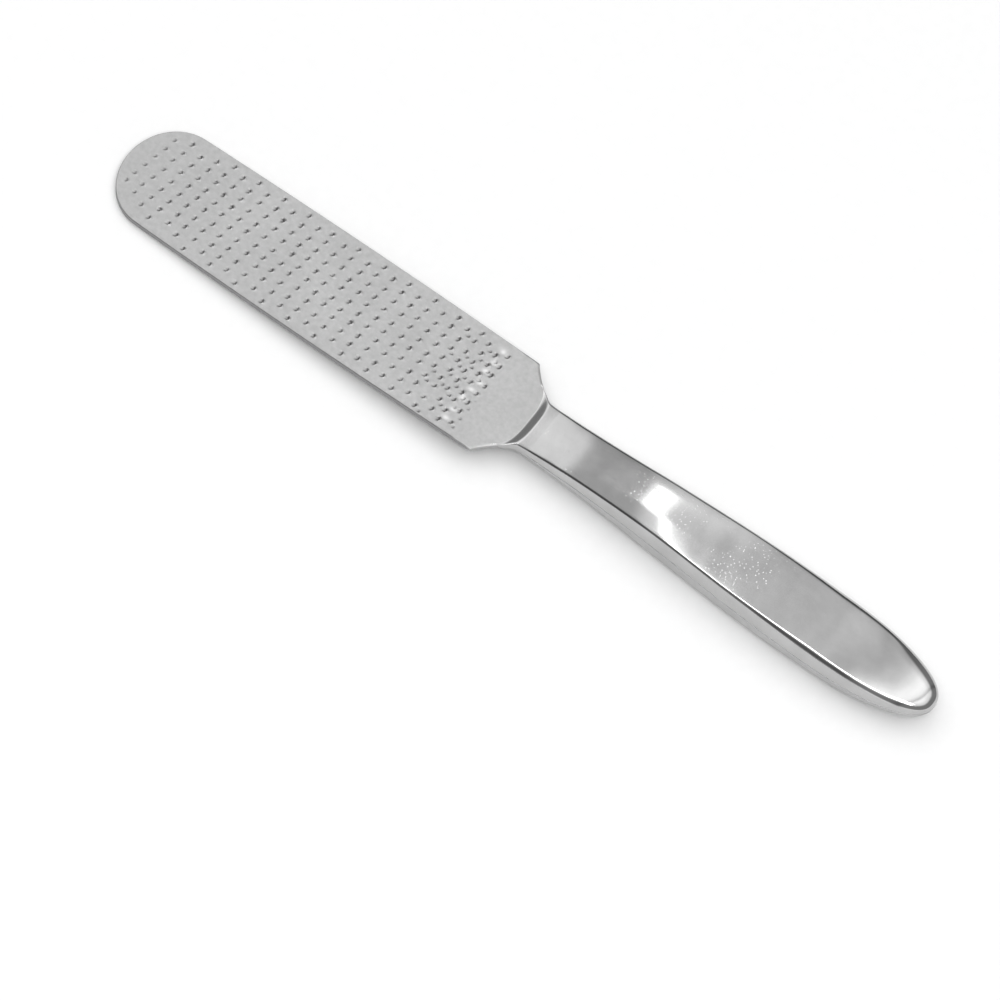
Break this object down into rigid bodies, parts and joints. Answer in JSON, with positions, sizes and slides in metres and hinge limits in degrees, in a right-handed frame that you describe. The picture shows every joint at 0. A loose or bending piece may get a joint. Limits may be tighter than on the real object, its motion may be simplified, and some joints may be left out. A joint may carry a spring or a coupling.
{
  "type": "hand rasp",
  "caption": "Slim all-steel hand rasp: flat round-tipped blade, coarse punched teeth on one face and fine wavy file cuts on the other, in a smooth hollow handle.",
  "frame": {"origin": "under the middle of the tool's length, at the height of the handle's lowest point", "axes": "+X along the tool from the blade's tip to the handle's butt, +Z out of the coarse face of the blade"},
  "size_m": [0.2, 0.0252, 0.0118],
  "materials": {
    "blade": "satin stainless steel with cut teeth",
    "weld": "ground and polished weld",
    "handle": "hand-polished stainless steel",
    "filler": "set resin, hidden"
  },
  "bodies": {
    "root": {"rasp_blade": "blade", "neck_weld": "weld", "handle_upper_shell": "handle", "handle_lower_shell": "handle", "seam_weld": "weld", "tang_filler": "filler"}
  },
  "joints": []
}
